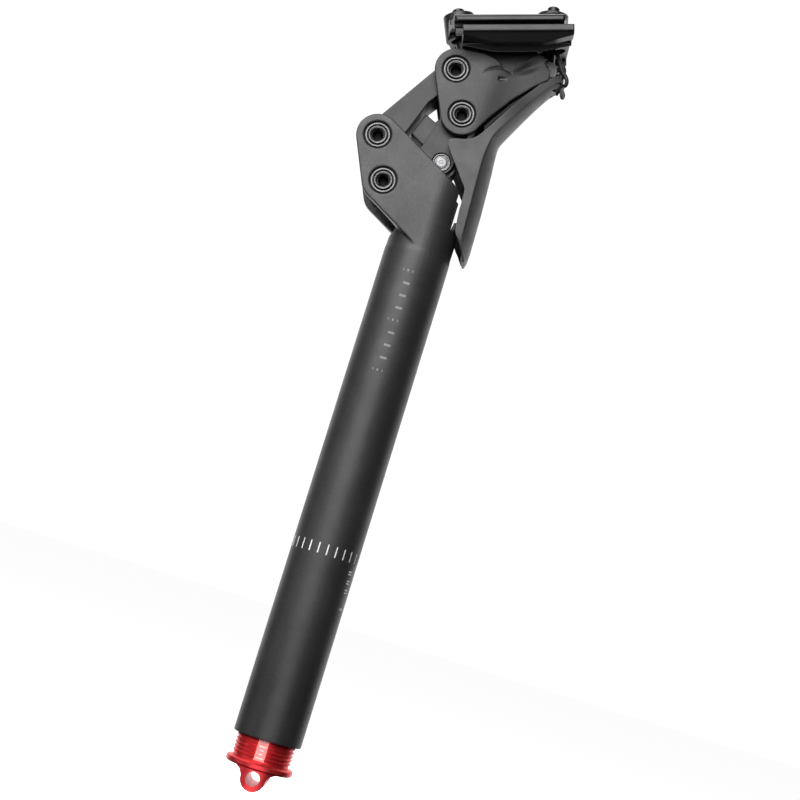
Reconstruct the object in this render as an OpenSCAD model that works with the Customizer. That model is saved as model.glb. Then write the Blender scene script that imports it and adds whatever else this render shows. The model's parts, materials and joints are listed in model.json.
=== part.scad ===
// Parallelogram suspension seatpost with spring preload plug and two-bolt saddle clamp.
// Millimetres. Origin on the tube axis at the tube's lower end.
// +Z runs up the tube, +X towards the back of the bicycle, -Y is the bicycle's left side.
// The saddle rails lie 17 degrees off the tube's normal, so they are level on a 73 degree seat tube.

/* [Tube] */
// Outside diameter of the post tube
post_d = 27.2; // [27:0.1:27.4]
// Inside diameter of the post tube
bore_d = 23.5; // [23.4:0.1:23.8]
// Height of the shoulder that the plunger guide seats against
shoulder_z = 198; // [190:1:200]

/* [Linkage] */
// Pivot axle diameter
axle_d = 7; // [6:0.1:7]
// Distance between the inner faces of the fork cheeks
fork_gap = 19.2; // [19.2:0.1:19.8]
// Radius of the rounded corners around the outer pivots
boss_r = 8.7; // [8:0.1:9]
// Radius of the link eyes
eye_r = 6.4; // [6.2:0.1:6.6]
// Diameter of the roller that pushes the plunger
roller_d = 12; // [11:0.1:12]

/* [Spring] */
// Thickness of the main spring's wire
spring_wire_d = 3.2; // [2.5:0.1:3.4]
// Thickness of the inner spring's wire
inner_wire_d = 2; // [1.5:0.1:2.2]
// Length of preload plug standing out between the tube end and the plug's flange
plug_out = 8.9; // [8.5:0.1:12]
// Pitch of the grooves cut along the preload plug
thread_pitch = 1.5; // [1:0.1:2]

/* [Saddle clamp] */
// Diameter of the saddle rails
rail_d = 7; // [6.9:0.05:7.1]
// Distance between the centres of the saddle rails
rail_gap = 44; // [43.5:0.1:44.5]
// Angle between the saddle rails and the tube's normal
rail_angle = 17; // [16.5:0.1:17.5]
// Lean of each clamp bolt away from the other
bolt_lean = 6; // [5.5:0.1:6.5]
// Diameter of the clamp bolts
bolt_d = 5; // [4.5:0.1:5]

/* [Node] */
// Name of the one sub-part to draw, or all

/* [Hidden] */

$fn = 96;
post_r = post_d / 2;
neck_r = post_r - 0.2;
grip_top = 200;
bore_r = bore_d / 2;
axle_r = axle_d / 2;
cheek_in = fork_gap / 2;
cheek_out = post_r - 0.25;
link_half = 9;
fork_half = 5;
run_gap = 0.03;
// Pivots as [x, z]: post front, post rear, head front, head rear, roller pin.
p1 = [-28.8, 240.8];
p2 = [-21.2, 223.5];
link = [22.3, 35.2];
p3 = p1 + link;
p4 = p2 + link;
pin = [-1.3, 238.3];
pin_r = 3.8;
roller_r = roller_d / 2;
pad_top = pin[1] - roller_r - 0.02;
tilt = [18.3, 34.5];
saddle_r = 25;
rail_r = rail_d / 2;
rail_y = rail_gap / 2;
rail_v = 16.5;
bolt_r = bolt_d / 2;
seat_top = 26;
plate_bottom = 174;
slot_z = 214;
edge_slope = 30;
rear_barrel_at = [31.45, 3.5];

// A flat outline in the X-Z plane, given a width across Y.
module side(width) {
  rotate([90, 0, 0])
    linear_extrude(height = width, center = true)
      children();
}

// The same on both sides, from one distance off the middle to another.
module both_sides(near, far) {
  for (way = [-1, 1])
    translate([0, way * (near + far) / 2, 0])
      side(far - near)
        children();
}

// Round bar across Y at [x, z].
module across(at, radius, width) {
  translate([at[0], 0, at[1]])
    rotate([90, 0, 0])
      cylinder(r = radius, h = width, center = true);
}

// Round bars across Y on both sides, from one distance off the middle to another.
module across_sides(at, radius, near, far) {
  for (way = [-1, 1])
    translate([at[0], way * (near + far) / 2, at[1]])
      rotate([90, 0, 0])
        cylinder(r = radius, h = far - near, center = true);
}

// Level frame of the saddle rails: X along the rails, Z straight up on the bicycle.
module rail_frame() {
  translate([0, 0, 276])
    rotate([0, -rail_angle, 0])
      children();
}

// Frame of a clamp bolt: origin at its upper end, -Z down its length.
module bolt_frame(top, lean) {
  rail_frame()
    translate([top[0], 0, top[1]])
      rotate([0, lean, 0])
        children();
}

module front_frame() {
  bolt_frame([-5.1, 32], -bolt_lean)
    children();
}

module rear_frame() {
  bolt_frame([34.5, 32.6], bolt_lean)
    children();
}

// Capsule outline around two points.
module capsule(a, b, radius) {
  step = b - a;
  translate(a)
    circle(r = radius);
  translate(b)
    circle(r = radius);
  translate(a)
    rotate(atan2(step[1], step[0]))
      translate([0, -radius])
        square([norm(step), 2 * radius]);
}

// Side outline of the forged cheeks, up to the tube's middle.
module fork_outline() {
  down = [cos(edge_slope), -sin(edge_slope)];
  upper = p1 + boss_r * [sin(edge_slope), cos(edge_slope)];
  lower = p2 - boss_r * [sin(edge_slope), cos(edge_slope)];
  capsule(p1, p2, boss_r);
  polygon([upper, upper - upper[0] / down[0] * down, lower - lower[0] / down[0] * down,
    lower, p2, p1]);
}

// Cheek holes for one pivot: axle hole, screw recess and a wide counterbore on each face.
module pivot_holes(at) {
  across(at, axle_r + 0.02, 40);
  across_sides(at, axle_r + 0.25, 11.5, 20);
  across_sides(at, 5.6, cheek_out - 1.3, 20);
}

// Room that the slot leaves for the tube's back wall, lower where the link's plates pass.
module back_wall() {
  difference() {
    rotate([90, 0, 90])
      linear_extrude(height = 20)
        polygon([[-16, 190], [16, 190], [16, 213], [6.6, 213], [5.4, 217], [-5.4, 217],
          [-6.6, 213], [-16, 213]]);
    cylinder(r = bore_r, h = 230);
  }
}

module post_body() {
  color([0.06, 0.06, 0.065])
    difference() {
      union() {
        cylinder(r = post_r, h = grip_top);
        translate([0, 0, grip_top - 0.01])
          cylinder(r1 = post_r, r2 = neck_r, h = 1.5);
        difference() {
          translate([0, 0, grip_top])
            cylinder(r = neck_r, h = 62);
          translate([p1[0], 0, p1[1]])
            rotate([0, edge_slope, 0])
              translate([-50, -30, boss_r])
                cube([120, 60, 80]);
        }
        side(2 * cheek_out)
          fork_outline();
      }
      translate([0, 0, -1])
        cylinder(r = bore_r, h = shoulder_z + 1);
      cylinder(r = 8.2, h = 210);
      // round-bottomed slot between the cheeks, which leaves a low wall at the back
      difference() {
        translate([-60, 0, slot_z])
          rotate([90, 0, 90])
            linear_extrude(height = 100)
              capsule([0, 0], [0, 60], cheek_in);
        back_wall();
      }
      pivot_holes(p1);
      pivot_holes(p2);
    }
}

// Two hollow steel axles with threaded ends.
module axle_pair(a, b) {
  for (at = [a, b])
    difference() {
      across(at, axle_r, 23);
      across(at, 2.3, 30);
    }
}

// Socket screws at both ends of two pivots.
module screw_set(a, b) {
  for (at = [a, b])
    difference() {
      union() {
        across_sides(at, axle_r + 0.2, 11.5, cheek_out - 0.4);
        across_sides(at, axle_r - 0.2, 11.5, cheek_out - 0.1);
        across_sides(at, 2.25, 6, 11.6);
      }
      across_sides(at, 2.45, cheek_out - 0.6, 20);
      for (way = [-1, 1])
        translate([at[0], way * 11.9, at[1]])
          rotate([90, 0, 0])
            cylinder(r = 2.3, h = 3.2, center = true, $fn = 6);
    }
}

// Retaining rings seated in the counterbores of two pivots.
module ring_set(a, b) {
  for (at = [a, b])
    difference() {
      across_sides(at, 5, cheek_out - 1.3, cheek_out - 0.3);
      across(at, 4.25, 60);
    }
}

module post_axles() {
  color([0.55, 0.55, 0.56])
    axle_pair(p1, p2);
}

module post_screws() {
  color([0.2, 0.2, 0.21])
    screw_set(p1, p2);
}

module post_rings() {
  color([0.35, 0.35, 0.36])
    ring_set(p1, p2);
}

// Plunger guide pushed up against the shoulder inside the tube.
module guide_bush() {
  color([0.75, 0.73, 0.66])
    difference() {
      translate([0, 0, shoulder_z - 16])
        cylinder(r = bore_r - 0.05, h = 15.95);
      translate([0, 0, shoulder_z - 20])
        cylinder(r = 5 + run_gap, h = 30);
      for (turn = [0 : 60 : 300])
        rotate(turn)
          translate([9, 0, shoulder_z - 17])
            cylinder(r = 1.3, h = 12);
    }
}

// Upper link outline: level top edge, lower edge that narrows towards the head.
module upper_outline() {
  lift = eye_r * [-0.845, 0.535];
  translate(p1)
    circle(r = eye_r);
  translate(p3)
    circle(r = eye_r);
  polygon([p1 + lift, p1, p1 - lift, [-19.6, 243.4], [-13.4, 260.9], [-10.6, 264.8],
    p3 - lift, p3, p3 + lift]);
}

module upper_link() {
  color([0.07, 0.07, 0.075])
    difference() {
      side(2 * link_half)
        upper_outline();
      across(p3, eye_r + 2.6, 2 * fork_half);
      across(p1, 4.42, 40);
      across(p3, 4.42, 40);
      // channel along the top of the link
      side(8)
        translate([-24.9, 258.4])
          rotate(atan2(link[1], link[0]))
            translate([-7, -2])
              square([18, 8]);
    }
}

// Flanged polymer bushings: one from each side in both eyes of a link.
module bush_set(a, b) {
  for (at = [a, b])
    difference() {
      union() {
        across_sides(at, 4.4, fork_half, link_half);
        across_sides(at, 5.6, link_half + 0.01, cheek_in - 0.05);
        across_sides(at, 4.4, link_half - 0.1, link_half + 0.2);
      }
      across(at, axle_r + run_gap, 40);
    }
}

module upper_bushings() {
  color([0.8, 0.77, 0.68])
    bush_set(p1, p3);
}

module lower_bushings() {
  color([0.8, 0.77, 0.68])
    bush_set(p2, p4);
}

// Lower link: two side plates carry the roller pin; a middle web joins them at the head end.
module lower_plate_outline() {
  translate(p2)
    circle(r = eye_r);
  translate(p4)
    circle(r = eye_r);
  translate(pin)
    circle(r = 4.9);
  polygon([p2 + [3.8, -5.1], pin + [2.9, -3.9], pin + [4.8, -0.9], p4 + [5.4, -3.4], p4,
    p4 + [-6, 2], [-10.8, 242.8], [-15.8, 228.2], p2]);
}

module lower_link() {
  color([0.07, 0.07, 0.075])
    difference() {
      union() {
        both_sides(6.3, link_half)
          lower_plate_outline();
        across(p2, eye_r, 2 * link_half);
        across(p4, eye_r, 2 * link_half);
        side(10.4)
          polygon([[-17, 247.4], [-13.4, 257], [-8.8, 254.7], p4 + [-6, 2], p4 + [5.4, -3.4],
            [3.6, 246], [-3, 245.6], [-8.6, 243.4], [-12, 244.6]]);
        side(14)
          polygon([[-5.6, 249], p4 + [-5, -1], p4 + [5, -3.4], [3.4, 247]]);
      }
      across(pin, roller_r + 0.9, 12.6);
      across(pin, pin_r + 0.02, 40);
      across(p2, 4.42, 40);
      across(p4, 4.42, 40);
    }
}

// Bright pin through the lower link's side plates, with a shallow dish in each end.
module roller_pin() {
  color([0.75, 0.75, 0.76])
    difference() {
      union() {
        across(pin, pin_r, 2 * link_half - 0.6);
        across(pin, pin_r - 0.3, 2 * link_half);
      }
      across_sides(pin, pin_r - 0.8, link_half - 0.35, 20);
    }
}

module roller() {
  color([0.6, 0.6, 0.61])
    difference() {
      union() {
        across(pin, roller_r, 10.6);
        across(pin, pin_r + 1, 12);
      }
      across(pin, pin_r + run_gap, 20);
    }
}

// Plunger stem that carries the roller's push down to the springs.
module plunger() {
  color([0.62, 0.62, 0.63])
    difference() {
      union() {
        translate([0, 0, plate_bottom + 1])
          cylinder(r = 5, h = pad_top - 6 - plate_bottom - 1);
        translate([0, 0, pad_top - 6])
          cylinder(r = 5.9, h = 3.5);
      }
      translate([0, 0, plate_bottom])
        cylinder(r = 2.6, h = 12);
    }
}

// Hardened cap on the plunger that the roller rolls on.
module plunger_pad() {
  color([0.8, 0.8, 0.81])
    union() {
      translate([0, 0, pad_top - 2.48])
        cylinder(r = 6, h = 2.08);
      translate([0, 0, pad_top - 0.5])
        cylinder(r = 5.6, h = 0.5);
    }
}

// Piston plate screwed to the foot of the plunger; the springs push up on it.
module spring_plate() {
  color([0.25, 0.25, 0.26])
    difference() {
      union() {
        translate([0, 0, plate_bottom])
          cylinder(r = 11.4, h = 4);
        translate([0, 0, plate_bottom - 3])
          cylinder(r = 6.6, h = 4);
        translate([0, 0, plate_bottom - 3])
          cylinder(r = 2.5, h = 14);
      }
      translate([0, 0, plate_bottom + 1])
        difference() {
          cylinder(r = 5.05, h = 5);
          cylinder(r = 2.5, h = 5);
        }
      translate([0, 0, plate_bottom - 4])
        cylinder(r = 2, h = 3, $fn = 6);
    }
}

// Cut of a coil's wire by a level plane, so that a twist sweeps out a round wire.
function coil_edge(coil_r, wire_r, rise, turn, side) =
  let (part = wire_r * wire_r - pow(rise * turn / 360, 2), reach = sqrt(max(part, 0)))
  [(coil_r + side * reach) * cos(turn), (coil_r + side * reach) * sin(turn)];

module coil(coil_r, wire_r, length, turns) {
  rise = (length - 2 * wire_r) / turns;
  span = 360 * wire_r / rise;
  outer = [for (i = [-3 : 3]) coil_edge(coil_r, wire_r, rise, span * sin(i * 30), 1)];
  inner = [for (i = [2 : -1 : -2]) coil_edge(coil_r, wire_r, rise, span * sin(i * 30), -1)];
  translate([0, 0, wire_r])
    linear_extrude(height = length - 2 * wire_r, twist = -360 * turns, slices = 14 * turns,
      $fn = 12)
      polygon(concat(outer, inner));
}

module main_spring() {
  color([0.35, 0.35, 0.37])
    translate([0, 0, seat_top + 0.3])
      coil(9.7, spring_wire_d / 2, plate_bottom - seat_top - 0.6, 15);
}

module inner_spring() {
  color([0.5, 0.5, 0.52])
    translate([0, 0, seat_top + 0.3])
      coil(5.2, inner_wire_d / 2, plate_bottom - 3 - seat_top - 0.6, 19);
}

// Seat that keeps the springs from turning with the plug.
module spring_seat() {
  color([0.25, 0.25, 0.26])
    union() {
      translate([0, 0, seat_top - 4])
        cylinder(r = bore_r - 0.3, h = 4);
      translate([0, 0, seat_top - 1])
        cylinder(r = 3.6, h = 8);
    }
}

// Preload plug: grooved body, flange and a thick lug with a cross hole.
module preload_plug() {
  color([0.75, 0.06, 0.07])
    difference() {
      union() {
        translate([0, 0, -plug_out - 0.5])
          cylinder(r = 11.1, h = plug_out + seat_top - 4.05 + 0.5);
        for (step = [0 : 15])
          translate([0, 0, -6.9 + step * thread_pitch])
            rotate_extrude()
              polygon([[10, -0.62], [11.1, -0.62], [bore_r - 0.1, -0.16], [bore_r - 0.1, 0.16],
                [11.1, 0.62], [10, 0.62]]);
        translate([0, 0, -plug_out - 2.7])
          rotate_extrude()
            polygon([[0, 0], [12.7, 0], [13.4, 0.6], [13.4, 2.1], [12.8, 2.7], [0, 2.7]]);
        // thick lug, turned to just inside the flange's rim
        intersection() {
          side(30)
            union() {
              translate([0, -15])
                circle(r = 4.9);
              polygon([[-4.9, -15], [-5.2, -14.2], [-6.2, -12.6], [-7.8, -11.7], [-7.8, -10.5],
                [7.8, -10.5], [7.8, -11.7], [6.2, -12.6], [5.2, -14.2], [4.9, -15]]);
            }
          translate([0, 0, -20.5])
            cylinder(r = 12.6, h = 10.5);
        }
      }
      across([0, -15], 2.8, 30);
      // flat strip along the threads for the preload scale
      translate([-2.1, -bore_r - 4, -8.2])
        cube([4.2, 4.6, 26.5]);
      // hollow inside, open towards the springs
      translate([0, 0, -6])
        cylinder(r = 8.4, h = 40);
    }
}

// Side outline of the head's cheeks around the two rear pivots.
module cheek_outline() {
  capsule(p3, p4, boss_r);
  polygon([p4, p4 + [7.5, -4.1], [12.2, 261], [18.8, 271], [25.8, 279.2], [31, 284],
    [30.5, 287.6], [28.3, 291.6], [22.9, 293.2], [20.6, 289.8], [17.9, 286.1], [14.6, 282.2],
    [11.7, 281.8], [10, 283.9], [7.6, 284.8], [2.3, 285.6], p3 + [-1.4, 8.6], p3]);
}

// Side outline of the middle of the head, in the rail frame.
module middle_outline() {
  polygon([[-8.5, 9.4], [-8.5, 11.2], [-7.8, 11.8], [1, 11.8], [8, 10.9], [26.8, 10.9],
    [27.6, 9], [29.6, 6.2], [31.2, 4.4], [31.8, 0], [31, -1.8], [26, -5], [18, -10.9], [9, -18.6],
    [5, -22.4], [3.9, -12], [3.2, 0], [3.2, 9.4]]);
}

// Front bridge over the upper link, in the rail frame.
module bridge_outline() {
  polygon([[-8.5, 9.4], [-8.5, 11.2], [-7.8, 11.8], [1, 11.8], [3.2, 11.4], [3.2, 9.4]]);
}

// Plan outline that narrows the head towards the rear bolt.
module head_plan() {
  translate([0, 0, 230])
    linear_extrude(height = 80)
      polygon([[-40, -cheek_out], [7, -cheek_out], [17, -11.2], [32, -9.4], [32, 9.4],
        [17, 11.2], [7, cheek_out], [-40, cheek_out]]);
}

module head() {
  color([0.065, 0.065, 0.07])
    difference() {
      intersection() {
        union() {
          both_sides(cheek_in, cheek_out)
            cheek_outline();
          rail_frame()
            side(16)
              middle_outline();
          rail_frame()
            side(2 * cheek_in + 0.2)
              bridge_outline();
          intersection() {
            rail_frame()
              side(2 * cheek_in + 0.2)
                middle_outline();
            side(30)
              cheek_outline();
          }
        }
        head_plan();
      }
      // round seat of the lower cradle
      rail_frame()
        across(tilt, saddle_r + run_gap, 40);
      pivot_holes(p3);
      pivot_holes(p4);
      // front bolt: clearance hole and spot face under the bridge
      front_frame()
        translate([0, 0, -30])
          cylinder(r = bolt_r + 0.15, h = 40);
      front_frame()
        translate([0, 0, -32])
          cylinder(r = 4.7, h = 10.3);
      // room for the rear bolt's head under its barrel
      rear_frame()
        translate([0, 0, -48])
          cylinder(r = 4.7, h = 16.2);
      // rear bolt: open slot and round notch of the barrel washer
      rail_frame() {
        translate([28.4, -2.9, -20])
          cube([20, 5.8, 50]);
        across(rear_barrel_at, 3.32, 15);
        translate([28.4, 0, -20])
          cylinder(r = 2.9, h = 50);
      }
      // shallow groove that the guard's ring lies in
      leaning_ring(0.95);
      // small drain slot in each flank
      both_sides(11.6, 15)
        capsule([11.5, 277.4], [13.3, 277.9], 0.7);
    }
}

module head_axles() {
  color([0.55, 0.55, 0.56])
    axle_pair(p3, p4);
}

module head_screws() {
  color([0.2, 0.2, 0.21])
    screw_set(p3, p4);
}

module head_rings() {
  color([0.35, 0.35, 0.36])
    ring_set(p3, p4);
}

// Lower cradle: two rail wings on a middle block with a round underside.
module lower_cradle() {
  color([0.06, 0.06, 0.065])
    rail_frame()
      difference() {
        intersection() {
          union() {
            // wings and floor plate
            translate([-3.8, 0, 0])
              rotate([90, 0, 90])
                linear_extrude(height = 44.2)
                  polygon([[-26.6, 13], [-25.6, 12.7], [-13, 12.9], [-11.4, 5], [11.4, 5],
                    [13, 12.9], [25.6, 12.7], [26.6, 13], [26.6, 15.7], [13, 15.7],
                    [12, 17.2], [-12, 17.2], [-13, 15.7], [-26.6, 15.7]]);
            // ribs under the rail grooves, cut back towards the middle
            intersection() {
              side(60)
                polygon([[-3.8, 14], [-3.8, 11.8], [9, 9.2], [28, 9.2], [40.4, 11.8],
                  [40.4, 14]]);
              for (way = [0, 1])
                mirror([0, way, 0])
                  translate([-10, 0, 0])
                    rotate([90, 0, 90])
                      linear_extrude(height = 60)
                        polygon([[18.8, 14.5], [18.8, 8], [21.6, 8], [25.9, 12.8], [25.9, 14.5]]);
            }
          }
          union() {
            side(60)
              polygon([[-3.8, 14.2], [8.2, 11.9], [9.6, 11.2], [9.6, 16], [27, 16], [27, 11.2],
                [28.4, 11.9], [40.4, 14.2], [40.4, 20], [-3.8, 20]]);
            intersection() {
              across(tilt, saddle_r, 60);
              translate([8.6, -12, 0])
                cube([19.4, 24, 20]);
            }
            both_sides(11.5, 27)
              polygon([[-3.8, 11.8], [9, 9.2], [28, 9.2], [40.4, 11.8], [40.4, 20],
                [-3.8, 20]]);
          }
        }
        for (way = [-1, 1])
          translate([-10, way * rail_y, rail_v])
            rotate([0, 90, 0])
              cylinder(r = rail_r, h = 60);
        // open notch for the front bolt
        translate([-10, -3.2, 0])
          cube([11.4, 6.4, 30]);
        translate([1.4, 0, 0])
          cylinder(r = 3.2, h = 30);
        // slot for the rear bolt
        translate([29.4, -3.2, 0])
          cube([6.2, 6.4, 30]);
        for (along = [29.4, 35.6])
          translate([along, 0, 0])
            cylinder(r = 3.2, h = 30);
      }
}

// Top clamp: arched bridge with two rail wings and a round boss over each bolt.
module top_clamp() {
  color([0.07, 0.07, 0.075])
    difference() {
      union() {
        rail_frame()
          intersection() {
            translate([-12, 0, 0])
              rotate([90, 0, 90])
                linear_extrude(height = 54)
                  polygon([[-26.6, 17.3], [-26.6, 18.9], [-26, 19.6], [-24, 20.6], [-22, 21.4],
                    [-18, 22.6], [-9, 24.6], [9, 24.6], [18, 22.6], [22, 21.4], [24, 20.6],
                    [26, 19.6], [26.6, 18.9], [26.6, 17.3], [17.5, 17.3], [12, 19.2],
                    [-12, 19.2], [-17.5, 17.3]]);
            translate([0, 0, 10])
              linear_extrude(height = 20)
                polygon([[-7.1, -25.6], [-6.1, -26.6], [36.1, -26.6], [37.1, -25.6], [37.1, -16],
                  [39, -7], [39, 7], [37.1, 16], [37.1, 25.6], [36.1, 26.6], [-6.1, 26.6],
                  [-7.1, 25.6], [-7.1, 16], [-9, 7], [-9, -7], [-7.1, -16]]);
          }
        front_frame()
          translate([0, 0, -13.8])
            cylinder(r = 6.4, h = 10.8);
        rear_frame()
          translate([0, 0, -13.8])
            cylinder(r = 6.4, h = 10.2);
      }
      rail_frame()
        for (way = [-1, 1])
          translate([-20, way * rail_y, rail_v])
            rotate([0, 90, 0])
              cylinder(r = rail_r, h = 80);
      // shallow recess along the top
      rail_frame()
        translate([15, 0, 23.2])
          linear_extrude(height = 20)
            capsule([-5, 0], [5, 0], 4);
      front_frame()
        bolt_slot(0.85);
      rear_frame()
        bolt_slot(0.85);
      front_frame()
        nut_seat();
      rear_frame()
        nut_seat();
    }
}

// Hole for a clamp bolt, lengthened along the rails so that the clamp can tilt on it.
module bolt_slot(play) {
  translate([0, 0, -30])
    linear_extrude(height = 40)
      capsule([-play, 0], [play, 0], bolt_r + 0.7);
}

// Cross hole of one barrel nut.
module nut_seat() {
  translate([0, 0, -9.1])
    rotate([90, 0, 0])
      cylinder(r = 4.22, h = 30, center = true);
}

// Barrel nuts that the two bolts thread into.
module clamp_nuts() {
  color([0.3, 0.3, 0.31]) {
    front_frame()
      nut();
    rear_frame()
      nut();
  }
}

module nut() {
  difference() {
    translate([0, 0, -9.1])
      rotate([90, 0, 0])
        cylinder(r = 4.2, h = 12, center = true);
    bolt_slot(0.5);
  }
}

// Socket-head bolt with a rounded upper end.
module bolt(length) {
  difference() {
    union() {
      translate([0, 0, -length])
        cylinder(r = bolt_r, h = length - 0.8);
      rotate_extrude()
        polygon([[0, -1], [bolt_r, -1], [bolt_r - 0.35, -0.45], [bolt_r - 1, -0.1], [0, 0]]);
      translate([0, 0, -length - 4.2])
        cylinder(r = 4.2, h = 4.2);
    }
    translate([0, 0, -length - 4.3])
      cylinder(r = 2.3, h = 2.6, $fn = 6);
  }
}

module front_bolt() {
  color([0.08, 0.08, 0.085])
    front_frame()
      bolt(21.75);
}

module rear_bolt() {
  color([0.08, 0.08, 0.085])
    rear_frame()
      bolt(32.7);
}

// Cross barrel that lets the rear bolt rock in the head's notch.
module rear_barrel() {
  color([0.4, 0.4, 0.41])
    difference() {
      rail_frame()
        across(rear_barrel_at, 3.3, 14.6);
      rear_frame()
        translate([0, 0, -40])
          cylinder(r = bolt_r + 0.02, h = 40);
      rear_frame()
        translate([0, 0, -40])
          cylinder(r = 4.5, h = 7.3);
    }
}

// Side outline of the guard's outer skin.
module guard_outline() {
  polygon([[-1, 246.8], [1.1, 247.5], [5.8, 248.5], [9.6, 251.3], [12.7, 257.7], [15.7, 263.1],
    [22.5, 272.6], [27.9, 279.2], [33.4, 284.9], [35.4, 289.6], [38.2, 290.4], [38.9, 288.8],
    [37.8, 283.6], [34.6, 281.2], [29.6, 275.8], [24, 266], [19, 255.5], [19.2, 242.8],
    [19.9, 223], [20.2, 204.2], [19.2, 202.2], [17.6, 203.4], [15.2, 208.2], [12.5, 211.4],
    [11.9, 214.9], [11.3, 221.9], [11.3, 228.6], [10.6, 230], [1, 242.7]]);
}

// Space inside the guard.
module guard_hollow() {
  polygon([[-10, 195], [18, 195], [18.4, 204], [18.1, 223.2], [17.4, 242.8], [17.2, 256],
    [22.4, 267], [28.1, 277.1], [33.2, 282.4], [33.2, 300], [-10, 300]]);
}

// Plan limit of the guard, inset by a wall thickness.
module guard_plan(inset) {
  half = cheek_out - inset;
  translate([0, 0, 190])
    intersection() {
      translate([-1.4, 0, 0])
        cylinder(r = 21.6 - inset, h = 66);
      translate([-10, -half, 0])
        cube([40, 2 * half, 66]);
    }
  translate([0, 0, 254])
    linear_extrude(height = 50)
      polygon([[-10, -half], [16, -half], [35, -7.4 + inset], [41, -7.4 + inset],
        [41, 7.4 - inset], [35, 7.4 - inset], [16, half], [-10, half]]);
}

module guard() {
  color([0.08, 0.08, 0.08])
    difference() {
      intersection() {
        side(60)
          guard_outline();
        guard_plan(0);
      }
      intersection() {
        side(60)
          guard_hollow();
        guard_plan(1.8);
      }
      // slot between the two upper tines for the rear bolt
      rail_frame()
        translate([25.6, -4.9, -5])
          cube([20, 9.8, 33]);
    }
}

// Ring of round section that leans around the rear bolt and the guard's tines.
module leaning_ring(radius) {
  rail_frame()
    translate([33.5, 0, 1])
      rotate([0, 60.6, 0])
        rotate_extrude()
          translate([10.6, 0])
            circle(r = radius);
}

// Elastic ring that ties the guard's tines to the front of the rear bolt.
module guard_ring() {
  color([0.05, 0.05, 0.05])
    leaning_ring(0.85);
}

post_body();
post_axles();
post_screws();
post_rings();
guide_bush();
upper_link();
upper_bushings();
lower_link();
lower_bushings();
roller_pin();
roller();
plunger();
plunger_pad();
spring_plate();
main_spring();
inner_spring();
spring_seat();
preload_plug();
head();
head_axles();
head_screws();
head_rings();
guard();
guard_ring();
lower_cradle();
top_clamp();
clamp_nuts();
front_bolt();
rear_bolt();
rear_barrel();
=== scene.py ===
import json
import math

import bmesh
import bpy
from mathutils import Matrix, Vector


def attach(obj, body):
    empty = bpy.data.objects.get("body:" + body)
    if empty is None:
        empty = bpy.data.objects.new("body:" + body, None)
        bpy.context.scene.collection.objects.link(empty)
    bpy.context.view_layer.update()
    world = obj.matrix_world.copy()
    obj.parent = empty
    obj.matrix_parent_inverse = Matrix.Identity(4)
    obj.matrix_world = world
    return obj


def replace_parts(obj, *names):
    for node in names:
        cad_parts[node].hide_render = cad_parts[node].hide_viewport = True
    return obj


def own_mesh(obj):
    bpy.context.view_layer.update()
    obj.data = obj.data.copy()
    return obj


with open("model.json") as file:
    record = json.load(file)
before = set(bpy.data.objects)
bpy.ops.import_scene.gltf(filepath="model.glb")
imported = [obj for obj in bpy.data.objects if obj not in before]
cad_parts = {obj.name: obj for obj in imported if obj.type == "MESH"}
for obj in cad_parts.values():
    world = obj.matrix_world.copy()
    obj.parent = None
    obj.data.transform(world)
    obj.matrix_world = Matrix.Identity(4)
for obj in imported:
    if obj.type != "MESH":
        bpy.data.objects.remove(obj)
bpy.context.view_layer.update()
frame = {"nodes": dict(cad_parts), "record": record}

NODES = frame["nodes"]
MM = 0.001
LEAN = math.radians(17)             # the tube's lean against the saddle rails
CLAMP_HEIGHT = 276                  # mm, where the rail frame starts
TUBE_RADIUS = 13.6                  # mm
CHEEK = 13.35                       # mm, half width of the fork, the head and the guard
scene = bpy.context.scene


# ---------------------------------------------------------------- camera

cam_data = bpy.data.cameras.new("camera")
cam = bpy.data.objects.new("camera", cam_data)
scene.collection.objects.link(cam)
cam.location = (0.0458, -0.6703, 0.0536)
cam.rotation_euler = [math.radians(a) for a in (97.8753, -16.9896, 0.7009)]
cam_data.sensor_width = 36
cam_data.lens = 76.245
cam_data.clip_start, cam_data.clip_end = 0.02, 60
scene.camera = cam
scene.view_settings.view_transform = "Standard"
scene.view_settings.look = "None"


# ---------------------------------------------------------------- stage and light

def area(name, at, aim, size, watts, colour=(1, 1, 1)):
    data = bpy.data.lights.new(name, "AREA")
    data.shape = "RECTANGLE"
    data.size, data.size_y = size
    data.energy = watts
    data.color = colour
    lamp = bpy.data.objects.new(name, data)
    lamp.location = at
    lamp.rotation_euler = (Vector(aim) - Vector(at)).to_track_quat("-Z", "Y").to_euler()
    lamp.visible_camera = False
    scene.collection.objects.link(lamp)


world = bpy.data.worlds.new("studio")
scene.world = world
world.use_nodes = True
back = world.node_tree.nodes["Background"]
path = world.node_tree.nodes.new("ShaderNodeLightPath")
mix = world.node_tree.nodes.new("ShaderNodeMix")
mix.data_type = "FLOAT"
mix.inputs[2].default_value = 0.03
mix.inputs[3].default_value = 1.05
world.node_tree.links.new(path.outputs["Is Camera Ray"], mix.inputs[0])
world.node_tree.links.new(mix.outputs[0], back.inputs["Strength"])
back.inputs["Color"].default_value = (1, 1, 1, 1)

# Lamps are placed along the camera's own axes: right, up and towards it.
AXES = cam.rotation_euler.to_matrix()
MID = Vector((0.0, 0.0, 0.15))


def placed(right, up, near):
    return MID + AXES @ Vector((right, up, near))


area("front", placed(-0.12, 0.85, 1.05), MID, (1.3, 1.0), 32)
area("front_low", placed(-0.12, -0.35, 1.30), MID, (1.1, 0.7), 7)
area("left", placed(-1.3, 0.2, 0.55), MID, (0.5, 1.6), 2)
area("rear_panel", placed(0.1, 0.1, -1.2), MID, (3.9, 2.7), 50)
area("top", placed(-0.3, 1.3, -0.1), MID, (0.9, 0.9), 5)

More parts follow.
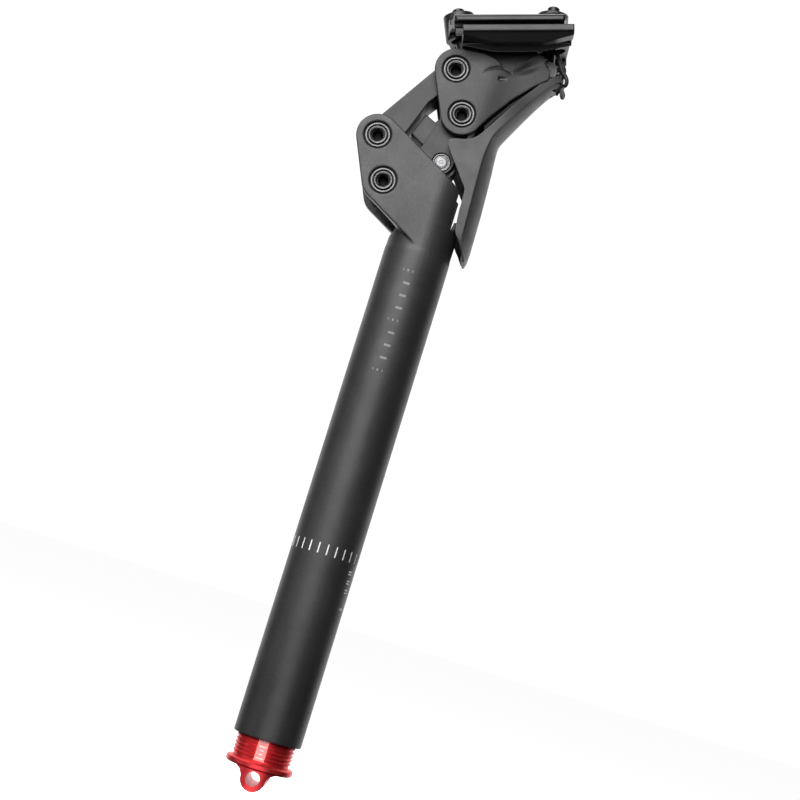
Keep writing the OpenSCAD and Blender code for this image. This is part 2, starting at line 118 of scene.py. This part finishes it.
mesh = bpy.data.meshes.new("floor")
mesh.from_pydata([(-30, -30, 0), (30, -30, 0), (30, 30, 0), (-30, 30, 0)], [],
                 [(0, 1, 2, 3)])
floor = bpy.data.objects.new("floor", mesh)
floor.location = (0, 0, -0.12)
scene.collection.objects.link(floor)
pale = bpy.data.materials.new("pale_floor")
pale.use_nodes = True
shader = pale.node_tree.nodes["Principled BSDF"]
shader.inputs["Base Color"].default_value = (0.9, 0.9, 0.9, 1)
shader.inputs["Roughness"].default_value = 0.9
shader.inputs["Emission Color"].default_value = (1, 1, 1, 1)
shader.inputs["Emission Strength"].default_value = 0.95
mesh.materials.append(pale)
floor.visible_diffuse = False
floor.visible_glossy = False


# ---------------------------------------------------------------- materials

def nodes_of(name):
    mat = bpy.data.materials.new(name)
    mat.use_nodes = True
    tree = mat.node_tree
    return mat, tree, tree.nodes["Principled BSDF"]


def noise(tree, scale, detail=4.0, stretch=None):
    coords = tree.nodes.new("ShaderNodeTexCoord")
    tex = tree.nodes.new("ShaderNodeTexNoise")
    tex.inputs["Scale"].default_value = scale
    tex.inputs["Detail"].default_value = detail
    if stretch:
        place = tree.nodes.new("ShaderNodeMapping")
        place.inputs["Scale"].default_value = stretch
        tree.links.new(coords.outputs["Object"], place.inputs["Vector"])
        tree.links.new(place.outputs["Vector"], tex.inputs["Vector"])
    else:
        tree.links.new(coords.outputs["Object"], tex.inputs["Vector"])
    return tex.outputs["Fac"]


def ramp(tree, value, low, high, out_low, out_high):
    node = tree.nodes.new("ShaderNodeMapRange")
    node.inputs["From Min"].default_value = low
    node.inputs["From Max"].default_value = high
    node.inputs["To Min"].default_value = out_low
    node.inputs["To Max"].default_value = out_high
    tree.links.new(value, node.inputs["Value"])
    return node.outputs["Result"]


def blend_colour(tree, value, first, second):
    node = tree.nodes.new("ShaderNodeMix")
    node.data_type = "RGBA"
    for socket, colour in ((6, first), (7, second)):
        if isinstance(colour, (tuple, list)):
            node.inputs[socket].default_value = (*colour, 1)
        else:
            tree.links.new(colour, node.inputs[socket])
    tree.links.new(value, node.inputs[0])
    return node.outputs[2]


def edge_mask(tree, reach=0.00035):
    """1 near convex edges: how far a bevelled normal turns from the true one."""
    bevel = tree.nodes.new("ShaderNodeBevel")
    bevel.inputs["Radius"].default_value = reach
    bevel.samples = 4
    geo = tree.nodes.new("ShaderNodeNewGeometry")
    dot = tree.nodes.new("ShaderNodeVectorMath")
    dot.operation = "DOT_PRODUCT"
    tree.links.new(bevel.outputs[0], dot.inputs[0])
    tree.links.new(geo.outputs["Normal"], dot.inputs[1])
    return ramp(tree, dot.outputs["Value"], 0.995, 0.86, 0.0, 1.0)


def bump(tree, layers):
    """layers: (height, strength, distance) from coarse to fine; returns the normal."""
    normal = None
    for height, strength, distance in layers:
        node = tree.nodes.new("ShaderNodeBump")
        node.inputs["Strength"].default_value = strength
        node.inputs["Distance"].default_value = distance
        tree.links.new(height, node.inputs["Height"])
        if normal:
            tree.links.new(normal, node.inputs["Normal"])
        normal = node.outputs["Normal"]
    return normal


def satin(name, dark, light, metal, rough, grain=2600, grain_depth=0.00003, edge=None,
          wear=0.35, specular=0.5):
    """Bead-blasted and dyed metal: fine grain, faint mottling, paler worn edges."""
    mat, tree, bsdf = nodes_of(name)
    fine = noise(tree, grain, 3)
    cloud = noise(tree, 60, 5)
    colour = blend_colour(tree, ramp(tree, fine, 0.35, 0.65, 0, 1), dark, light)
    tint = blend_colour(tree, ramp(tree, cloud, 0.3, 0.7, 0, 1), dark, light)
    half = tree.nodes.new("ShaderNodeMix")
    half.data_type = "RGBA"
    half.inputs[0].default_value = 0.5
    tree.links.new(colour, half.inputs[6])
    tree.links.new(tint, half.inputs[7])
    base = half.outputs[2]
    if edge:
        mask = tree.nodes.new("ShaderNodeMath")
        mask.operation = "MULTIPLY"
        tree.links.new(edge_mask(tree), mask.inputs[0])
        tree.links.new(ramp(tree, noise(tree, 420, 4), 0.45, 0.7, 0.15 * wear, wear),
                       mask.inputs[1])
        base = blend_colour(tree, mask.outputs[0], base, edge)
    tree.links.new(base, bsdf.inputs["Base Color"])
    bsdf.inputs["Metallic"].default_value = metal
    bsdf.inputs["Specular IOR Level"].default_value = specular
    tree.links.new(ramp(tree, noise(tree, 130, 4), 0.3, 0.7, rough - 0.035, rough + 0.035),
                   bsdf.inputs["Roughness"])
    tree.links.new(bump(tree, [(noise(tree, 900, 3), 0.12, 0.00004), (fine, 0.3, grain_depth)]),
                   bsdf.inputs["Normal"])
    return mat


def turned(name, dark, light, rough, metal=1.0, stretch=(1, 1, 14), scale=900):
    """Machined metal with fine tool lines and small scuffs."""
    mat, tree, bsdf = nodes_of(name)
    lines = noise(tree, scale, 3, stretch)
    scuff = noise(tree, 500, 5)
    base = blend_colour(tree, ramp(tree, lines, 0.3, 0.7, 0, 1), dark, light)
    base = blend_colour(tree, ramp(tree, scuff, 0.62, 0.75, 0, 0.5), base,
                        [min(1, c * 1.6 + 0.02) for c in light])
    tree.links.new(base, bsdf.inputs["Base Color"])
    bsdf.inputs["Metallic"].default_value = metal
    tree.links.new(ramp(tree, scuff, 0.3, 0.7, rough - 0.05, rough + 0.07),
                   bsdf.inputs["Roughness"])
    tree.links.new(bump(tree, [(lines, 0.25, 0.00003)]), bsdf.inputs["Normal"])
    return mat


def moulded(name, dark, light, rough, grain=1500, depth=0.00005):
    """Injection moulded polymer: fine spark-eroded grain."""
    mat, tree, bsdf = nodes_of(name)
    fine = noise(tree, grain, 2)
    base = blend_colour(tree, ramp(tree, noise(tree, 90, 4), 0.3, 0.7, 0, 1), dark, light)
    tree.links.new(base, bsdf.inputs["Base Color"])
    tree.links.new(ramp(tree, noise(tree, 200, 4), 0.3, 0.7, rough - 0.04, rough + 0.05),
                   bsdf.inputs["Roughness"])
    tree.links.new(bump(tree, [(fine, 0.35, depth)]), bsdf.inputs["Normal"])
    return mat


EDGE = (0.10, 0.10, 0.103)
LOOKS = {
    "black_anodised": satin("black_anodised", (0.028, 0.028, 0.029), (0.054, 0.054, 0.056),
                            0.5, 0.47, grain=2300, grain_depth=0.00005, edge=EDGE),
    "head_aluminium": satin("head_aluminium", (0.022, 0.022, 0.023), (0.043, 0.043, 0.045),
                            0.5, 0.48, grain=2300, grain_depth=0.00005, edge=EDGE),
    "link_aluminium": satin("link_aluminium", (0.017, 0.017, 0.018), (0.033, 0.033, 0.034),
                            0.5, 0.47, grain=2300, grain_depth=0.00005, edge=EDGE),
    "clamp_aluminium": satin("clamp_aluminium", (0.018, 0.018, 0.0185), (0.032, 0.032, 0.033),
                             0.5, 0.40, edge=(0.08, 0.08, 0.082)),
    "dark_aluminium": turned("dark_aluminium", (0.05, 0.05, 0.052), (0.09, 0.09, 0.093), 0.42),
    "red_anodised": turned("red_anodised", (0.56, 0.022, 0.030), (0.74, 0.050, 0.055), 0.36,
                           metal=0.75),
    "bare_steel": turned("bare_steel", (0.05, 0.05, 0.052), (0.09, 0.09, 0.092), 0.4),
    "bright_steel": turned("bright_steel", (0.16, 0.16, 0.165), (0.30, 0.30, 0.305), 0.50),
    "screw_steel": turned("screw_steel", (0.09, 0.09, 0.092), (0.16, 0.16, 0.163), 0.40),
    "ring_steel": turned("ring_steel", (0.10, 0.10, 0.103), (0.17, 0.17, 0.174), 0.46),
    # Screw socket insides: near-black painted shade standing for the dark of the recess.
    "socket_painted_shade": moulded("socket_painted_shade", (0.004, 0.004, 0.004), (0.008, 0.008, 0.008), 0.7),
    "black_bolt": satin("black_bolt", (0.014, 0.014, 0.0145), (0.026, 0.026, 0.027), 0.6, 0.34,
                        grain=1800, edge=(0.12, 0.12, 0.12), wear=0.5),
    "spring_steel": turned("spring_steel", (0.16, 0.16, 0.165), (0.26, 0.26, 0.27), 0.32,
                           stretch=(1, 1, 1)),
    "bearing_plastic": moulded("bearing_plastic", (0.55, 0.51, 0.40), (0.66, 0.62, 0.50), 0.5),
    "guard_plastic": moulded("guard_plastic", (0.017, 0.017, 0.017), (0.028, 0.028, 0.028),
                             0.48),
    "ring_rubber": moulded("ring_rubber", (0.010, 0.010, 0.010), (0.017, 0.017, 0.017), 0.5),
}
SLOT = {s["node"]: s["material_slot"] for s in frame["record"]["subparts"]}
# Nodes whose finish is darker than their slot's usual one.
DARKER = {"rear_barrel": "black_bolt", "clamp_nuts": "black_bolt"}


for name, obj in NODES.items():
    for index in range(len(obj.material_slots)):
        obj.material_slots[index].material = LOOKS[DARKER.get(name, SLOT[name])]
    if not obj.material_slots:
        obj.data.materials.append(LOOKS[SLOT[name]])

BODY = {n: b for b, ns in frame["record"]["behaviour"]["bodies"].items() for n in ns}


# ---------------------------------------------------------------- pieces

def finished(name, mesh, node, slot=None, smooth=True):
    """Links a mesh as a piece that stands for a CAD node, on its body, in its finish."""
    obj = bpy.data.objects.new(name, mesh)
    scene.collection.objects.link(obj)
    if not mesh.materials:
        mesh.materials.append(LOOKS[slot or SLOT[node]])
    if smooth:
        mesh.shade_smooth()
    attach(obj, BODY[node])
    return obj


def from_bmesh(name, bm):
    mesh = bpy.data.meshes.new(name)
    bm.to_mesh(mesh)
    bm.free()
    return mesh


def whole(node):
    """The CAD node's mesh with its split vertices joined."""
    bm = bmesh.new()
    bm.from_mesh(NODES[node].data)
    bmesh.ops.remove_doubles(bm, verts=bm.verts, dist=2e-6)
    return bm


def cut_level(bm, height, fill, above=True):
    """Keeps what lies above a height in mm, or below it, and may fill the cut."""
    geom = bm.verts[:] + bm.edges[:] + bm.faces[:]
    cut = bmesh.ops.bisect_plane(bm, geom=geom, plane_co=(0, 0, height * MM),
                                 plane_no=(0, 0, 1 if above else -1), clear_inner=True)
    if fill:
        rim = [e for e in cut["geom_cut"] if isinstance(e, bmesh.types.BMEdge)]
        bmesh.ops.triangle_fill(bm, use_beauty=True, edges=rim)


def evaluated(mesh, name, *steps):
    """The mesh after a list of (modifier type, settings)."""
    obj = bpy.data.objects.new(name + "_work", mesh)
    scene.collection.objects.link(obj)
    for kind, settings in steps:
        modifier = obj.modifiers.new(kind.lower(), kind)
        for key, value in settings.items():
            setattr(modifier, key, value)
    graph = bpy.context.evaluated_depsgraph_get()
    made = bpy.data.meshes.new_from_object(obj.evaluated_get(graph))
    made.materials.clear()
    bpy.data.objects.remove(obj)
    bpy.data.meshes.remove(mesh)
    made.name = name
    return made


def forged(mesh, name, voxel, passes, keep, sculpt=None):
    """Rounds every edge of a closed mesh: fine remesh, smoothing, then thinning."""
    made = evaluated(mesh, name, ("REMESH", {"mode": "VOXEL", "voxel_size": voxel * MM}),
                     ("SMOOTH", {"factor": 0.5, "iterations": passes}))
    if sculpt:
        sculpt(made)
    return evaluated(made, name, ("DECIMATE", {"ratio": keep}))


def lathe(bm, profile, steps, at=(0, 0, 0), turn=None):
    """Revolves (radius, height) points in mm about Z; a radius of 0 closes the end."""
    place = Matrix.Translation(Vector(at) * MM) @ (turn or Matrix.Identity(4))
    rings = []
    for r, h in profile:
        if r == 0:
            rings.append([bm.verts.new(place @ Vector((0, 0, h * MM)))])
            continue
        rings.append([bm.verts.new(place @ Vector((r * MM * math.cos(a), r * MM * math.sin(a),
                                                   h * MM)))
                      for a in (2 * math.pi * i / steps for i in range(steps))])
    for low, high in zip(rings, rings[1:]):
        for i in range(steps):
            j = (i + 1) % steps
            if len(low) == 1:
                bm.faces.new((low[0], high[j], high[i]))
            elif len(high) == 1:
                bm.faces.new((low[i], low[j], high[0]))
            else:
                bm.faces.new((low[i], low[j], high[j], high[i]))


TO_LEFT = Matrix.Rotation(math.radians(90), 4, "X")    # +Z of a profile points to -Y
TO_RIGHT = Matrix.Rotation(math.radians(-90), 4, "X")  # +Z of a profile points to +Y


# Post: the forged top is rounded, the tube below it is a true cylinder.
ROUNDED_FROM, SEAM = 180, 190       # mm up the tube
bm = whole("post_body")
cut_level(bm, ROUNDED_FROM, True)
top = forged(from_bmesh("post_top", bm), "post_top", 0.3, 10, 0.3)
bm = bmesh.new()
bm.from_mesh(top)
cut_level(bm, SEAM, False)
for v in bm.verts:
    reach = math.hypot(v.co.x, v.co.y)
    if v.co.z < 0.199 and reach > 0.0133:
        grow = TUBE_RADIUS * MM / reach
        v.co.x *= grow
        v.co.y *= grow
lathe(bm, [(11.75, SEAM), (11.75, 60.0), (11.75, 0.5), (11.78, 0.25), (11.95, 0.06),
           (12.2, 0.0), (13.0, 0.0), (13.3, 0.06), (13.52, 0.25), (TUBE_RADIUS, 0.55),
           (TUBE_RADIUS, 50.0), (TUBE_RADIUS, 110.0), (TUBE_RADIUS, SEAM)], 160)
mesh = from_bmesh("post_shell", bm)
bpy.data.meshes.remove(top)
post = finished("post_shell", mesh, "post_body")
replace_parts(post, "post_body")


def soft_plan(x):
    """Half width of the head's cheeks: flat in front, then a soft bend inwards."""
    def turn(at, reach, gain):
        t = min(max((x - at + reach) / (2 * reach), 0), 1)
        past = max(x - at - reach, 0)
        return gain * (reach * t * t + past)
    return CHEEK - turn(7.5, 4.0, 0.225) + turn(18, 4.5, 0.105)


def plan(x):
    """Half width of the CAD head's cheeks, which narrow in two straight steps."""
    return CHEEK - 0.215 * max(min(x, 17) - 7, 0) - 0.12 * max(x - 17, 0)


def segment_gap(x, z, a, b):
    """Distance of a point from the line between a and b, in the side view."""
    dx, dz = b[0] - a[0], b[1] - a[1]
    t = min(max(((x - a[0]) * dx + (z - a[1]) * dz) / (dx * dx + dz * dz), 0), 1)
    return math.hypot(x - a[0] - t * dx, z - a[1] - t * dz)


CREASE = [(4.2, 277.2), (6.5, 279.9), (9.0, 281.3), (12.1, 282.0), (14.8, 281.4)]
INNER = 9.2                         # mm, the cheeks' inner side, which stays


def sculpt_head(mesh):
    """Bends the cheeks softly and sinks the hollow below the horn and the crease."""
    for v in mesh.vertices:
        x, y, z = v.co / MM
        if abs(y) < 9.0 or x < 2:
            continue
        reach = abs(y)
        if reach > INNER:
            reach = INNER + ((reach - INNER) * (soft_plan(x) - INNER)
                             / max(plan(x) - INNER, 0.3))
        gap = min(segment_gap(x, z, a, b) for a, b in zip(CREASE, CREASE[1:]))
        fade = min(max((x - 4) / 4, 0), 1)
        groove = 0.55 * fade * math.exp(-(gap / 0.55) ** 2)
        along = (x - 20.5) * 0.80 + (z - 285.2) * 0.60
        over = -(x - 20.5) * 0.60 + (z - 285.2) * 0.80
        hollow = 1.0 * math.exp(-(along / 5.5) ** 2 - (over / 2.0) ** 2)
        weight = min((reach - 8.9) / 1.5, 1)
        reach -= weight * (groove + hollow)
        v.co.y = math.copysign(reach * MM, y)


for node, voxel, passes, keep in (("head", 0.26, 10, 0.4), ("upper_link", 0.25, 8, 0.3),
                                  ("lower_link", 0.25, 8, 0.3), ("top_clamp", 0.24, 6, 0.35),
                                  ("lower_cradle", 0.24, 5, 0.35)):
    mesh = forged(from_bmesh(node, whole(node)), node + "_form", voxel, passes, keep,
                  sculpt_head if node == "head" else None)
    piece = finished(node + "_form", mesh, node)
    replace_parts(piece, node)


# Guard: one lofted moulding. Each station is the free edge, the crease and the spine, as
# (x, z) in mm, with the half width at the free edge and at the crease.
GUARD = [
    ((34.4, 287.3), (35.7, 285.6), (36.4, 284.6), 7.5, 7.5),
    ((33.3, 286.7), (35.2, 284.6), (35.9, 283.6), 7.9, 7.8),
    ((31.3, 285.1), (33.5, 283.2), (34.2, 282.2), 8.5, 8.3),
    ((28.4, 282.0), (31.2, 280.5), (32.4, 280.1), 9.3, 8.9),
    ((24.8, 276.6), (27.4, 274.9), (28.9, 274.2), 10.3, 9.8),
    ((21.6, 271.8), (24.3, 269.8), (25.9, 268.7), 11.1, 10.4),
    ((18.5, 266.5), (21.3, 264.4), (23.1, 263.4), 11.9, 11.3),
    ((15.5, 261.2), (18.3, 259.2), (20.4, 258.1), 12.6, 12.3),
    ((12.7, 256.4), (15.8, 254.4), (18.8, 254.2), 13.1, 13.0),
    ((9.6, 251.6), (14.9, 250.6), (18.6, 250.6), 13.35, 13.3),
    ((5.8, 249.2), (14.5, 247.5), (18.75, 247.5), 13.35, 13.35),
    ((1.2, 248.1), (14.3, 244.8), (18.9, 244.8), 13.35, 13.35),
    ((-0.9, 246.5), (14.25, 242.4), (19.1, 242.4), 13.35, 13.35),
    ((1.0, 242.7), (14.3, 239.6), (19.25, 239.6), 13.35, 13.35),
    ((5.0, 237.4), (14.4, 235.8), (19.45, 235.8), 13.35, 13.35),
    ((9.0, 232.1), (14.55, 231.2), (19.65, 231.2), 13.35, 13.35),
    ((10.9, 229.4), (14.7, 228.0), (19.8, 228.0), 13.35, 13.35),
    ((11.3, 225.0), (14.9, 224.0), (19.95, 224.0), 13.35, 13.35),
    ((11.4, 220.0), (15.1, 219.0), (20.05, 219.0), 13.35, 13.3),
    ((11.9, 214.9), (15.3, 214.0), (20.15, 214.0), 13.35, 13.2),
    ((12.7, 211.2), (15.6, 210.0), (20.2, 210.0), 13.3, 13.0),
    ((15.0, 208.1), (16.5, 206.9), (20.2, 206.5), 12.9, 12.2),
    ((17.2, 204.5), (17.8, 204.0), (20.0, 203.5), 10.8, 10.2),
    ((18.8, 202.6), (19.1, 202.4), (19.6, 202.2), 7.4, 6.8),
]
SKIN = 1.6                          # mm, thickness
TINE = 4.95                         # mm, half width of the gap between the tines
SLICES, SIDE, BACK = 6, 7, 9        # steps along each station, down a side and round the back


def spline_at(values, t):
    """Catmull-Rom value through evenly spaced values."""
    i = min(int(t), len(values) - 2)
    f = t - i
    p0, p1 = values[max(i - 1, 0)], values[i]
    p2, p3 = values[i + 1], values[min(i + 2, len(values) - 1)]
    return 0.5 * (2 * p1 + (p2 - p0) * f + (2 * p0 - 5 * p1 + 4 * p2 - p3) * f * f
                  + (3 * p1 - p0 - 3 * p2 + p3) * f * f * f)


def guard_mesh():
    """The guard's outer skin, open at the front and slotted between the tines."""
    tracks = list(zip(*[(*e, *c, *s, ye, yc) for e, c, s, ye, yc in GUARD]))
    bm = bmesh.new()
    rows = []
    for k in range(SLICES * (len(GUARD) - 1) + 1):
        ex, ez, cx, cz, sx, sz, ye, yc = (spline_at(t, k / SLICES) for t in tracks)
        half = []
        for j in range(SIDE):
            f = j / SIDE
            half.append((ex + (cx - ex) * f, ye + (yc - ye) * f, ez + (cz - ez) * f))
        for j in range(BACK):
            # Where the guard is wide, the last rows gather at the gap between the tines.
            even = yc * (1 - j / BACK)
            y = even if j < 6 else min(TINE * (BACK - j) / BACK * 2.2, even)
            f = 1 - (y / yc) ** 2
            half.append((cx + (sx - cx) * f, y, cz + (sz - cz) * f))
        half.append((sx, 0, sz))
        row = half + [(x, -y, z) for x, y, z in half[-2::-1]]
        rows.append([bm.verts.new(Vector(p) * MM) for p in row])
    for low, high in zip(rows, rows[1:]):
        for i in range(len(low) - 1):
            bm.faces.new((low[i], low[i + 1], high[i + 1], high[i]))
    slot = []
    for face in bm.faces:
        x, y, z = face.calc_center_median() / MM
        c, s = math.cos(LEAN), math.sin(LEAN)
        u, v = c * x + s * (z - CLAMP_HEIGHT), -s * x + c * (z - CLAMP_HEIGHT)
        if abs(y) < TINE and v > -5 and u > 25:
            slot.append(face)
    bmesh.ops.delete(bm, geom=slot, context="FACES")
    bmesh.ops.recalc_face_normals(bm, faces=bm.faces)
    side = sum((f.normal.y * f.calc_center_median().y) for f in bm.faces)
    if side < 0:
        bmesh.ops.reverse_faces(bm, faces=bm.faces)
    return from_bmesh("guard_form", bm)


mesh = evaluated(guard_mesh(), "guard_form",
                 ("SOLIDIFY", {"thickness": SKIN * MM, "offset": -1, "use_even_offset": True,
                               "thickness_clamp": 1.0}),
                 ("BEVEL", {"width": 0.32 * MM, "segments": 3, "limit_method": "ANGLE",
                            "angle_limit": math.radians(38)}))
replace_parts(finished("guard_form", mesh, "guard"), "guard")


# Where the four pivots and the roller pin lie in the side view, as (x, z) in mm.
P1, P2 = (-28.8, 240.8), (-21.2, 223.5)
P3, P4 = (-6.5, 276.0), (1.1, 258.7)
PIN = (-1.3, 238.3)
ROUND = 72                          # steps round a turned piece

# Hollow screw with a chamfer and a socket whose inside is painted near-black as shade,
# and the plain retaining ring round it, as (radius, distance from the middle) in mm.
SCREW = [(0, 7.0), (1.9, 7.0), (2.3, 7.6), (2.45, CHEEK - 0.8), (2.65, CHEEK - 0.5),
         (3.4, CHEEK - 0.2), (3.55, CHEEK - 0.2), (3.66, CHEEK - 0.36), (3.7, CHEEK - 1.5)]
RING = [(4.2, CHEEK - 1.6), (4.22, CHEEK - 0.66), (4.3, CHEEK - 0.5), (4.44, CHEEK - 0.44),
        (4.84, CHEEK - 0.44), (4.98, CHEEK - 0.5), (5.06, CHEEK - 0.66), (5.08, CHEEK - 1.6)]
SOCKET_TOP = CHEEK - 0.85


def pivot_ends(name, pivots):
    """The screws and the retaining rings of two pivots, on both sides."""
    for part, profile in (("screws", SCREW), ("rings", RING)):
        bm = bmesh.new()
        for x, z in pivots:
            for turn in (TO_LEFT, TO_RIGHT):
                lathe(bm, profile[::-1], ROUND, (x, 0, z), turn)
        node = f"{name}_{part}"
        mesh = from_bmesh(node, bm)
        piece = finished(node, mesh, node)
        if part == "screws":
            # The faces inside the socket get the near-black painted shade.
            mesh.materials.append(LOOKS["socket_painted_shade"])
            for polygon in mesh.polygons:
                polygon.material_index = int(abs(polygon.center.y) < SOCKET_TOP * MM)
        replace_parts(piece, node)


pivot_ends("post", (P1, P2))
pivot_ends("head", (P3, P4))

# Roller pin: peened end with a turned groove.
bm = bmesh.new()
for turn in (TO_LEFT, TO_RIGHT):
    lathe(bm, [(0, 8.72), (0.5, 8.7), (0.62, 8.62), (0.8, 8.7), (2.45, 8.72), (2.62, 8.5),
               (2.9, 8.5), (3.05, 8.84), (3.25, 8.98), (3.5, 8.9), (3.7, 8.6),
               (3.8, 8.2), (3.8, 0.0)][::-1], ROUND, (PIN[0], 0, PIN[1]), turn)
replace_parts(finished("roller_pin_turned", from_bmesh("roller_pin_turned", bm), "roller_pin"),
            "roller_pin")


# ---------------------------------------------------------------- markings

def patch(bm, angle, z, wide, tall):
    """A printed mark: a curved rectangle just off the tube."""
    r = TUBE_RADIUS + 0.02
    half = wide / 2 / r
    cols = [angle + half * (k - 1) for k in range(3)]
    rows = [z - tall / 2, z + tall / 2]
    grid = [[bm.verts.new((r * MM * math.cos(a), r * MM * math.sin(a), h * MM))
             for a in cols] for h in rows]
    for k in range(2):
        bm.faces.new((grid[0][k], grid[0][k + 1], grid[1][k + 1], grid[1][k]))


def flat_mark(bm, depth, x0, x1, z0, z1):
    """A printed rectangle that faces the camera, at a depth in mm."""
    bm.faces.new([bm.verts.new((x * MM, -depth * MM, z * MM))
                  for x, z in ((x0, z0), (x1, z0), (x1, z1), (x0, z1))])


# The ring of 24 depth marks, and plain bars in place of the small print.
bm = bmesh.new()
for k in range(24):
    patch(bm, math.radians(-143.7 + 15 * k), 76.4, 0.5, 4.2)
for tall, angle, z in ((0.5, -26, 70.9), (0.5, -26, 69.9), (0.5, -24, 67.2),
                       (0.5, -24, 66.2), (0.55, -22, 63.6), (0.55, -22, 62.5),
                       (0.8, -20, 56.0)):
    patch(bm, math.radians(angle), z, 2.4, tall)
marks = from_bmesh("tube_marks", bm)
white = moulded("pad_printed", (0.66, 0.66, 0.65), (0.78, 0.78, 0.77), 0.55, 2500, 0.00001)
marks.materials.append(white)
finished("tube_marks", marks, "post_body", smooth=False)

# A plain scale of bars that start on one line, every fourth one long.
LONG, SHORT = 4.2, 2.6              # mm
bm = bmesh.new()
for k in range(9):
    wide = LONG if k % 4 == 0 else SHORT
    patch(bm, math.radians(-93.5) + (LONG - wide) / 2 / TUBE_RADIUS, 149.5 + k * 5.2,
          wide, 0.9)
scale = from_bmesh("tube_scale", bm)
grey = moulded("etched_grey", (0.16, 0.16, 0.16), (0.22, 0.22, 0.215), 0.5, 2500, 0.00001)
scale.materials.append(grey)
finished("tube_scale", scale, "post_body", smooth=False)

# Preload scale: a pale strip with plain bars on the plug's flat.
bm = bmesh.new()
flat_mark(bm, 11.165, -2.05, 2.05, -8.1, 18.0)
strip = from_bmesh("plug_strip", bm)
strip.materials.append(turned("pale_red", (0.80, 0.20, 0.20), (0.92, 0.30, 0.29), 0.42,
                              metal=0.4))
finished("plug_strip", strip, "preload_plug", smooth=False)
bm = bmesh.new()
for k in range(16):
    wide = 2.9 if k % 3 == 0 else 1.5
    z = -7.2 + k * 1.5
    flat_mark(bm, 11.175, -wide / 2, wide / 2, z, z + 0.45)
bars = from_bmesh("plug_bars", bm)
bars.materials.append(white)
finished("plug_bars", bars, "preload_plug", smooth=False)


# ---------------------------------------------------------------- elastic ring on the guard

def rail(u, y, v):
    """A point of the rail frame, in mm: u back along the rails, v up from them."""
    c, s = math.cos(LEAN), math.sin(LEAN)
    return Vector((c * u - s * v, y, CLAMP_HEIGHT + s * u + c * v)) * MM


def cord(name, radius, fineness, points):
    """A round NURBS cord through points in metres."""
    curve = bpy.data.curves.new(name, "CURVE")
    curve.dimensions = "3D"
    curve.bevel_depth = radius * MM
    curve.bevel_resolution = fineness
    spline = curve.splines.new("NURBS")
    spline.points.add(len(points) - 1)
    for point, spot in zip(spline.points, points):
        point.co = (*spot, 1)
    spline.order_u = 4
    obj = bpy.data.objects.new(name, curve)
    scene.collection.objects.link(obj)
    return obj, curve, spline


side = [(27.7, -5.5, 297.6), (29.7, -8.0, 296.2), (31.7, -9.2, 293.8), (33.2, -9.5, 290.6),
        (34.8, -9.2, 288.3), (36.6, -9.0, 287.0), (37.7, -8.8, 285.2), (37.6, -8.2, 283.6),
        (37.0, -6.6, 283.9), (36.6, -3.4, 284.6)]
loop = (side + [(36.4, 0.0, 284.7)] + [(x, -y, z) for x, y, z in side[::-1]]
        + [(25.6, 0, 297.2)])
ring, curve, spline = cord("elastic_ring", 0.85, 4, [Vector(spot) * MM for spot in loop])
curve.resolution_u = 10
spline.use_cyclic_u = True
curve.materials.append(LOOKS["ring_rubber"])
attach(ring, "head")
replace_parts(ring, "guard_ring")

# Hooked ends of the guard's tines, which hold the ring.
HOOK = [(35.0, -2.4), (36.4, -0.2), (37.3, 2.2), (37.5, 4.0), (36.6, 4.7), (34.6, 4.6)]
for y, name in ((-6.3, "guard_hook_left"), (6.3, "guard_hook_right")):
    hook, curve, spline = cord(name, 1.35, 5, [rail(u, y, v) for u, v in HOOK])
    curve.use_fill_caps = True
    spline.use_endpoint_u = True
    curve.materials.append(LOOKS["guard_plastic"])
    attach(hook, "head")


# ---------------------------------------------------------------- springs

# The coils are copies of the CAD coils in two halves that meet at a fixed middle; nothing here
# makes the halves shorten as the plug screws in or the plunger comes down.
LIFT, STROKE = 8.26, 21.4           # mm, full travel of plug_lift and of plunger_slide
for node, foot, crown in (("main_spring", 26.3, 173.7), ("inner_spring", 26.3, 170.7)):
    middle = (foot + crown) / 2
    reach = middle - foot
    for half, above, joint, travel in (("lower", False, "plug_lift", LIFT),
                                       ("upper", True, "plunger_slide", STROKE)):
        bm = whole(node)
        cut_level(bm, middle, True, above)
        coil = finished(f"{node}_{half}", from_bmesh(f"{node}_{half}", bm), node)
        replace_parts(coil, node)
        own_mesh(coil)
